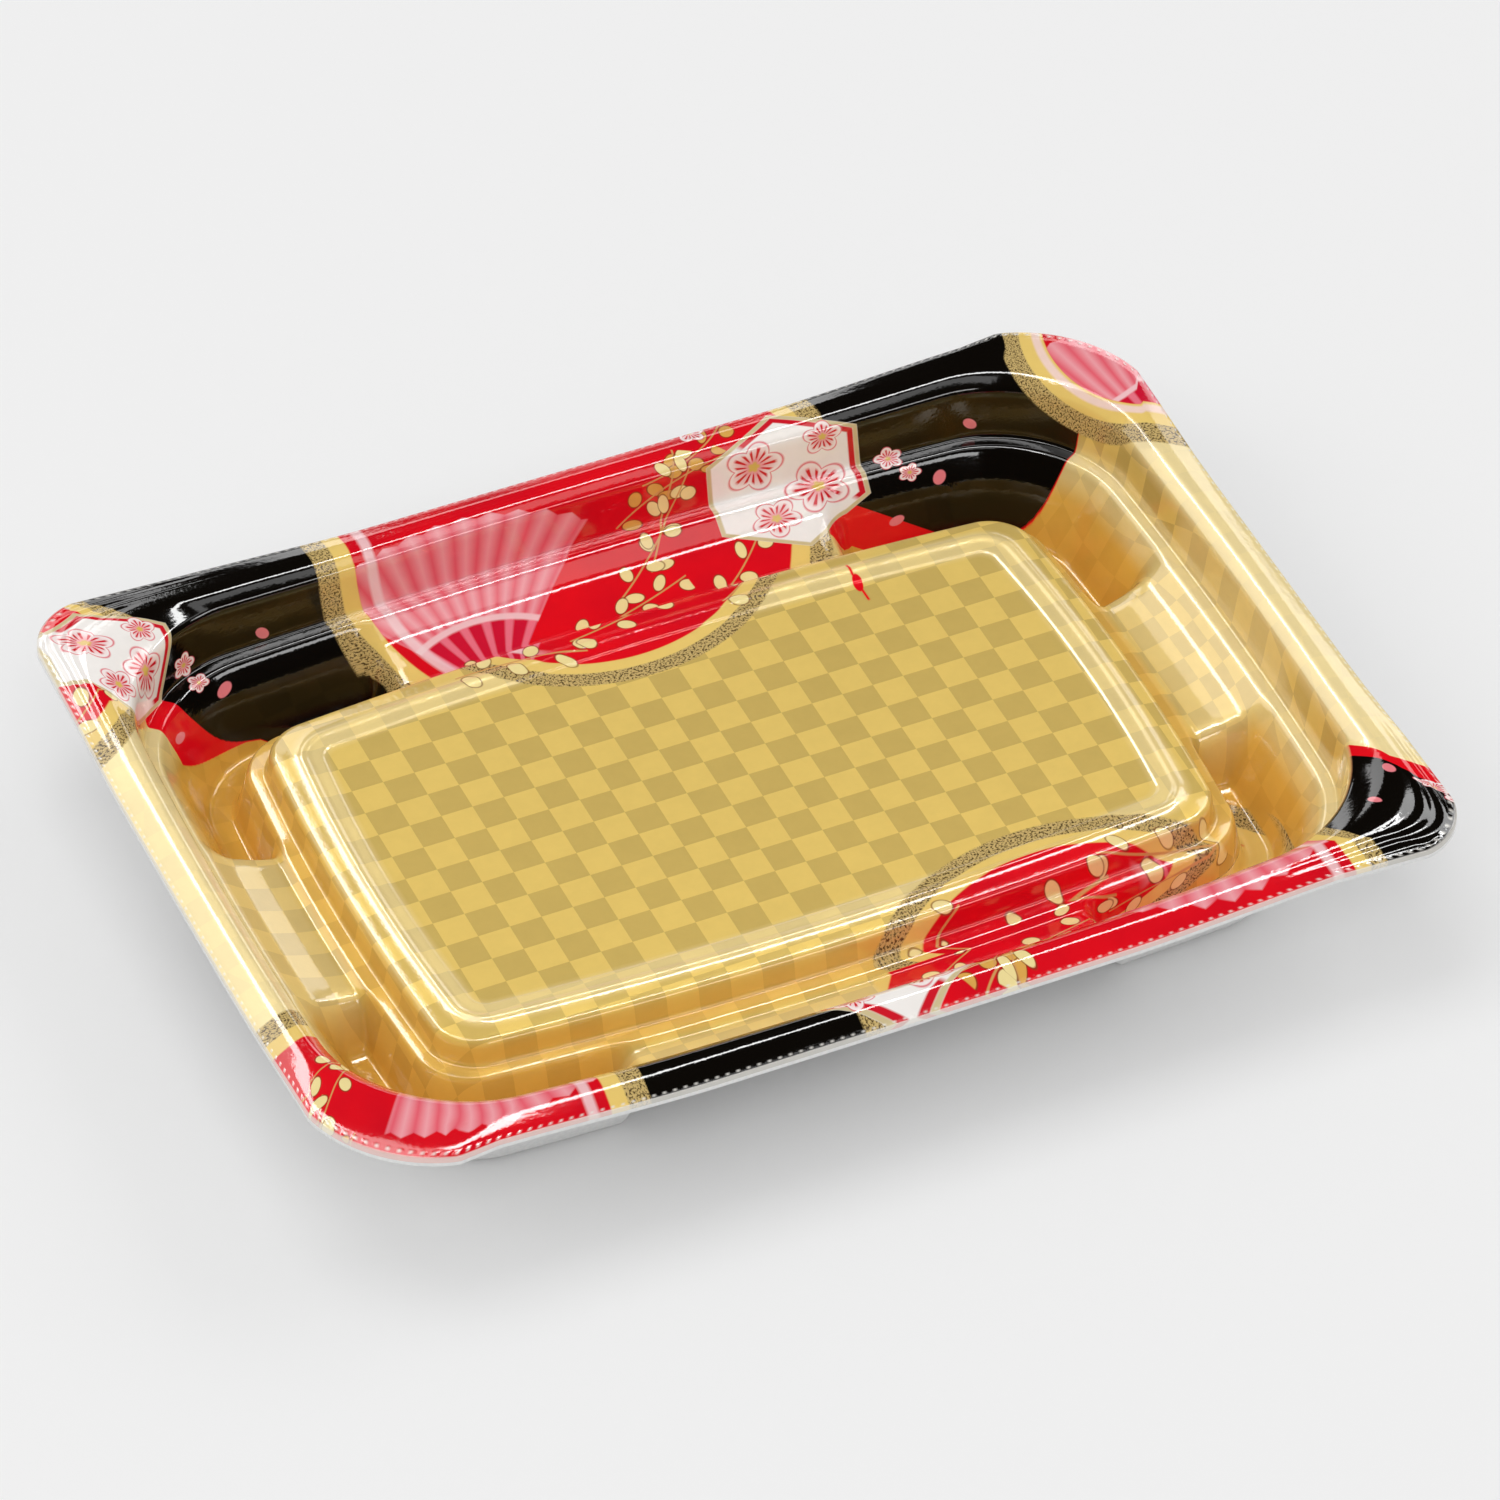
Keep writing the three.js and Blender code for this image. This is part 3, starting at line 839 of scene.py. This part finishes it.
def makeFilm():
    colours = filmPrint
    material = bpy.data.materials.new("printed_film")
    material.use_nodes = True
    tree = material.node_tree
    shader = tree.nodes["Principled BSDF"]
    checkX, checkY, section = attributeParts(tree, "checksPlace")
    printX, printY, deep = attributeParts(tree, "printPlace")
    gold = checkedGold(tree, checkX, checkY, section, deep)

    # the repeat's own coordinates: far row upright, near row turned half round
    isNear = outside(tree, past(tree, printY, 0, 0.01))
    sign = calc(tree, "MULTIPLY_ADD", isNear, -2, 1)
    (farX, farY), (nearX, nearY) = colours["farRow"], colours["nearRow"]
    startX = calc(tree, "MULTIPLY_ADD", isNear, nearX + farX, -farX)
    startY = calc(tree, "MULTIPLY_ADD", isNear, farY + nearY, -farY)
    x = calc(tree, "WRAP", calc(tree, "MULTIPLY_ADD", printX, sign, startX), colours["repeatEnd"],
             colours["repeatEnd"] - colours["repeat"])
    y = calc(tree, "MULTIPLY_ADD", printY, sign, startY)

    # each roundel is drawn differently on the island, the walls and the rim
    zones = traySheet["zones"]
    islandEnd = zones["moatEnd"] - zones["islandEdge"]
    onIsland = outside(tree, past(tree, calc(tree, "MULTIPLY_ADD", isNear, -islandEnd, section),
                                  zones["islandEdge"], 0.02))
    onRim = past(tree, section, zones["shoulder"], 0.1)
    far, near = colours["islandFar"], colours["islandNear"]
    draw = pick(tree, isNear, far["draw"], near["draw"])
    moveX = calc(tree, "MULTIPLY", onIsland, pick(tree, isNear, far["centre"][0], near["centre"][0]))
    moveY = calc(tree, "MULTIPLY", onIsland, pick(tree, isNear, far["centre"][1], near["centre"][1]))
    drawX = calc(tree, "ADD", calc(tree, "MULTIPLY", onIsland, calc(tree, "SUBTRACT", draw, 1)), 1)
    plain = either(tree, onRim, past(tree, printX, *colours["plainFrom"]))
    drawWall = calc(tree, "MULTIPLY_ADD", plain, 1 - colours["wallDraw"], colours["wallDraw"])
    drawY = calc(tree, "ADD", calc(tree, "MULTIPLY", onIsland, draw),
                 calc(tree, "MULTIPLY", outside(tree, onIsland), drawWall))
    distance = lengthOf(tree, calc(tree, "MULTIPLY", calc(tree, "SUBTRACT", x, moveX), drawX),
                        calc(tree, "MULTIPLY", calc(tree, "SUBTRACT", y, moveY), drawY))
    # inside the tray the near row is one roundel on plain checks: whole on the wall, cut off below
    inside = both(tree, isNear, outside(tree, onRim))
    onFloor = outside(tree, past(tree, section, zones["nearFloor"], 0.1))
    offWall = outside(tree, within(tree, printX, *colours["nearWall"], 0.5))
    offFloor = outside(tree, within(tree, printX, *colours["nearFloor"], 0.5))
    blank = both(tree, inside, either(tree, offWall, both(tree, onFloor, offFloor)))

    onWall = both(tree, past(tree, section, zones["moatEnd"], 0.1), outside(tree, inside))
    colour, redBand = addGrounds(tree, gold, x, y, isNear, printX, onWall)

    # roundel: speckled band, gold band, red field; its gold is broader at the right-hand end
    atEnd = past(tree, printX, *colours["broadFrom"])
    inSpeckle, inGold, inRed = (
        outside(tree, past(tree, calc(tree, "MULTIPLY_ADD", atEnd, cut, distance), edge, blur))
        for edge, cut, blur in ((colours["speckleEdge"], 2, 0.3), (colours["goldEdge"], 3, 0.2),
                                (colours["redEdge"], 6, 0.2)))
    grain = noise(tree, vectorOf(tree, x, y), *colours["speckleGrain"])
    speckles = blend(tree, past(tree, grain, colours["speckleLevel"], 0.05),
                     colours["speckleLight"], colours["speckleDark"])
    colour = blend(tree, inSpeckle, colour, speckles)
    colour = blend(tree, inGold, colour, colours["bandGold"])
    cloudy = past(tree, noise(tree, vectorOf(tree, x, y), *colours["redGrain"]), 0.5, 0.2)
    colour = blend(tree, inRed, colour, blend(tree, cloudy, colours["red"], colours["deepRed"]))

    colour = addFan(tree, colour, x, y, inRed)
    arc = both(tree, within(tree, distance, *colours["arc"], 0.4),
               outside(tree, past(tree, x, colours["arcEnd"], 3)))
    colour = blend(tree, calc(tree, "MULTIPLY", arc, 0.75), colour, colours["arcPink"])
    colour = addLeaves(tree, colour, x, y, outside(tree, atEnd))
    colour = addBlossoms(tree, colour, x, y)
    twig = both(tree, within(tree, x, *budShape["twigX"], 0.15),
                within(tree, y, *budShape["twigY"], 0.3))
    bud = ellipse(tree, x, y, budShape["centre"], budShape["half"], budShape["lean"])
    colour = blend(tree, either(tree, twig, bud), colour, colours["red"])
    colour = blend(tree, blank, colour, gold)

    # the cut edge shows a pale border, pressed into beads
    edgeRun, _, _ = attributeParts(tree, "edgeRun")
    bead = calc(tree, "PINGPONG", calc(tree, "DIVIDE", edgeRun, colours["bead"] / 2), 1.0)
    beadRow = within(tree, section, *colours["beadRow"], 0.08)
    beads = both(tree, beadRow, past(tree, bead, 0.7, 0.25))
    border = past(tree, section, colours["borderStart"], 0.08)
    edging = calc(tree, "MULTIPLY", either(tree, beads, border), 0.7)
    colour = blend(tree, edging, colour, colours["border"])

    finish = filmFinish
    place = tree.nodes.new("ShaderNodeTexCoord").outputs["Object"]
    wear = calc(tree, "MULTIPLY_ADD", noise(tree, place, *finish["wearGrain"]), finish["wear"],
                1 - finish["wear"] / 2)
    shade = tree.nodes.new("ShaderNodeVectorMath")
    shade.operation = "SCALE"
    tree.links.new(colour, shade.inputs[0])
    tree.links.new(wear, shade.inputs["Scale"])
    tree.links.new(shade.outputs["Vector"], shader.inputs["Base Color"])

    # gold ink is a little metallic; the rest is plain gloss under clear film
    golden = both(tree, outside(tree, redBand), past(tree, distance, colours["speckleEdge"], 0.3))
    tree.links.new(calc(tree, "MULTIPLY", golden, finish["metallic"]), shader.inputs["Metallic"])
    smudge = noise(tree, place, finish["smudgeScale"], 2)
    rough = calc(tree, "MULTIPLY_ADD", golden, finish["goldRoughness"] - finish["inkRoughness"],
                 finish["inkRoughness"])
    tree.links.new(calc(tree, "MULTIPLY_ADD", smudge, 0.1, rough), shader.inputs["Roughness"])
    shader.inputs["Specular IOR Level"].default_value = 0.0
    shader.inputs["Coat Weight"].default_value = 1.0
    shader.inputs["Coat Roughness"].default_value = finish["coatRoughness"]
    shader.inputs["Coat IOR"].default_value = finish["coatIor"]

    # the foam's soft orange peel shows through the film
    peel = calc(tree, "ADD", noise(tree, place, finish["finePeel"], 2),
                calc(tree, "MULTIPLY", noise(tree, place, finish["broadPeel"], 2), 2.0))
    peel = calc(tree, "ADD", peel, calc(tree, "MULTIPLY", both(tree, beadRow, bead), 3.0))
    addBump(tree, shader, peel, 0.2, ("Normal", "Coat Normal"))
    print("printed film:", len(tree.nodes), "nodes")
    return material


whiteFoam = {"colour": linear(236, 236, 234), "shade": linear(222, 222, 222), "beadScale": 900,
             "roughness": 0.55, "glow": 0.1, "glowReach": 0.002}


def makeFoam():
    material = bpy.data.materials.new("white_foam")
    material.use_nodes = True
    tree = material.node_tree
    shader = tree.nodes["Principled BSDF"]
    place = tree.nodes.new("ShaderNodeTexCoord").outputs["Object"]
    cells = tree.nodes.new("ShaderNodeTexVoronoi")
    put(tree, place, cells.inputs["Vector"])
    cells.inputs["Scale"].default_value = whiteFoam["beadScale"]
    shade = blend(tree, cells.outputs["Distance"], whiteFoam["colour"], whiteFoam["shade"])
    tree.links.new(shade, shader.inputs["Base Color"])
    shader.inputs["Roughness"].default_value = whiteFoam["roughness"]
    shader.inputs["Subsurface Weight"].default_value = whiteFoam["glow"]
    shader.inputs["Subsurface Radius"].default_value = [whiteFoam["glowReach"]] * 3
    addBump(tree, shader, cells.outputs["Distance"], 0.3, ("Normal",))
    print("white foam:", len(tree.nodes), "nodes")
    return material


studio = {
    "floorColour": (0.9, 0.9, 0.9),
    "floorRoughness": 0.9,
    "floorSize": 16.0,
    "fill": 0.60,
    # name, place, direction of its long side, length and height in metres, brightness, and what it
    # lights: soft lamps light the colours, gloss lamps are what the film mirrors
    "lamps": [
        ("keyBox", (-0.6, 1.5, 4.2), (1, 0, 0), (3.0, 2.4), 1.3, "soft"),
        ("frontBox", (-0.9, -2.6, 3.2), (1, 0, 0), (3.4, 2.0), 1.3, "soft"),
        ("leftSoft", (-3.2, 0.4, 2.6), (0, 1, 0), (3.0, 2.0), 1.1, "soft"),
        ("rightSoft", (3.2, 0.4, 2.4), (0, 1, 0), (3.0, 2.0), 1.1, "soft"),
        ("overheadStrip", (0.10, 0.018, 0.30), (1, 0, 0), (0.34, 0.036), 17, "gloss"),
        ("backPanel", (0.25, 2.6, 1.65), (1, 0, 0), (1.0, 0.9), 2.6, "gloss"),
        ("cornerPanel", (-0.13, 0.095, 0.55), (1, 0, 0), (0.16, 0.20), 4, "gloss"),
        ("leftStrip", (-0.16, 0.38, 0.50), (0, 1, 0), (0.38, 0.11), 9, "gloss"),
        ("rightPanel", (0.55, 0.20, 0.50), (1, 0, 0), (0.26, 0.20), 4.5, "gloss"),
        ("shoulderStrip", (0.2, -0.24, 0.55), (1, 0, 0), (0.5, 0.10), 1.5, "gloss"),
        ("frontStrip", (0.25, -0.62, 0.42), (1, 0, 0), (0.60, 0.16), 6, "gloss"),
        ("horizonStrip", (1.9, 5.6, 0.8), (1, 0, 0), (5.0, 0.9), 2, "gloss"),
        ("leftBox", (-0.70, 0.98, 0.92), (0, 1, 0), (0.80, 1.45), 1.9, "gloss"),
        ("rightBox", (1.02, 1.0, 0.5), (0, 1, 0), (0.70, 0.40), 2.2, "gloss"),
    ],
}


def makeStudio():
    deselectAll()
    bpy.ops.mesh.primitive_plane_add(size=studio["floorSize"], location=(0, 0, 0))
    floor = bpy.context.object
    floor.name = "studio_floor"
    material = bpy.data.materials.new("floor_paper")
    material.use_nodes = True
    shader = material.node_tree.nodes["Principled BSDF"]
    shader.inputs["Base Color"].default_value = (*studio["floorColour"], 1)
    shader.inputs["Roughness"].default_value = studio["floorRoughness"]
    shader.inputs["Specular IOR Level"].default_value = 0.0
    floor.data.materials.append(material)
    for name, place, longSide, (width, height), brightness, kind in studio["lamps"]:
        away = Vector(place).normalized()
        along = Vector(longSide)
        along = (along - away * along.dot(away)).normalized()
        bpy.ops.object.light_add(type="AREA", location=place)
        lamp = bpy.context.object
        lamp.name = name
        lamp.data.shape = "RECTANGLE"
        lamp.data.size, lamp.data.size_y = width, height
        lamp.data.energy = brightness * math.pi * width * height
        lamp.rotation_euler = Matrix((along, away.cross(along), away)).transposed().to_euler()
        lamp.visible_camera = False
        lamp.visible_diffuse = kind == "soft"
        lamp.visible_glossy = kind == "gloss"
    world = bpy.data.worlds.new("studio_world")
    world.use_nodes = True
    fill = studio["fill"]
    world.node_tree.nodes["Background"].inputs[0].default_value = (fill, fill, fill, 1)
    world.cycles_visibility.glossy = False
    bpy.context.scene.world = world
    bpy.context.scene.view_settings.view_transform = "Standard"


# angles in degrees, lens and sensor in millimetres, and the rest in metres
photoCamera = {
    "azimuth": -25.17,
    "elevation": 43.36,
    "roll": 0.93,
    "distance": 1.993,
    "target": (-0.0005, 0.00025, 0.0205),
    "shiftRight": 0.00271,
    "shiftUp": 0.00486,
    "lens": 220.25,
    "sensor": 36,
}


def makeCamera():
    azimuth, elevation, roll = (math.radians(photoCamera[key])
                                for key in ("azimuth", "elevation", "roll"))
    back = Vector((math.sin(azimuth) * math.cos(elevation), -math.cos(azimuth) * math.cos(elevation),
                   math.sin(elevation)))
    right = Vector((math.cos(azimuth), math.sin(azimuth), 0))
    up = back.cross(right)
    rolledRight = right * math.cos(roll) + up * math.sin(roll)
    rolledUp = up * math.cos(roll) - right * math.sin(roll)
    place = (Vector(photoCamera["target"]) + rolledRight * photoCamera["shiftRight"]
             + rolledUp * photoCamera["shiftUp"] + back * photoCamera["distance"])
    bpy.ops.object.camera_add(location=place)
    camera = bpy.context.object
    camera.name = "photo_camera"
    camera.rotation_euler = Matrix((rolledRight, rolledUp, back)).transposed().to_euler()
    camera.data.lens = photoCamera["lens"]
    camera.data.sensor_width = photoCamera["sensor"]
    camera.data.clip_start = 0.01
    camera.data.clip_end = 100
    bpy.context.scene.camera = camera


makeCamera()
makeStudio()
print("studio ready")
trayShell = makeTray(makeFilm(), makeFoam())
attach(trayShell, "root")
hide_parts("tray")
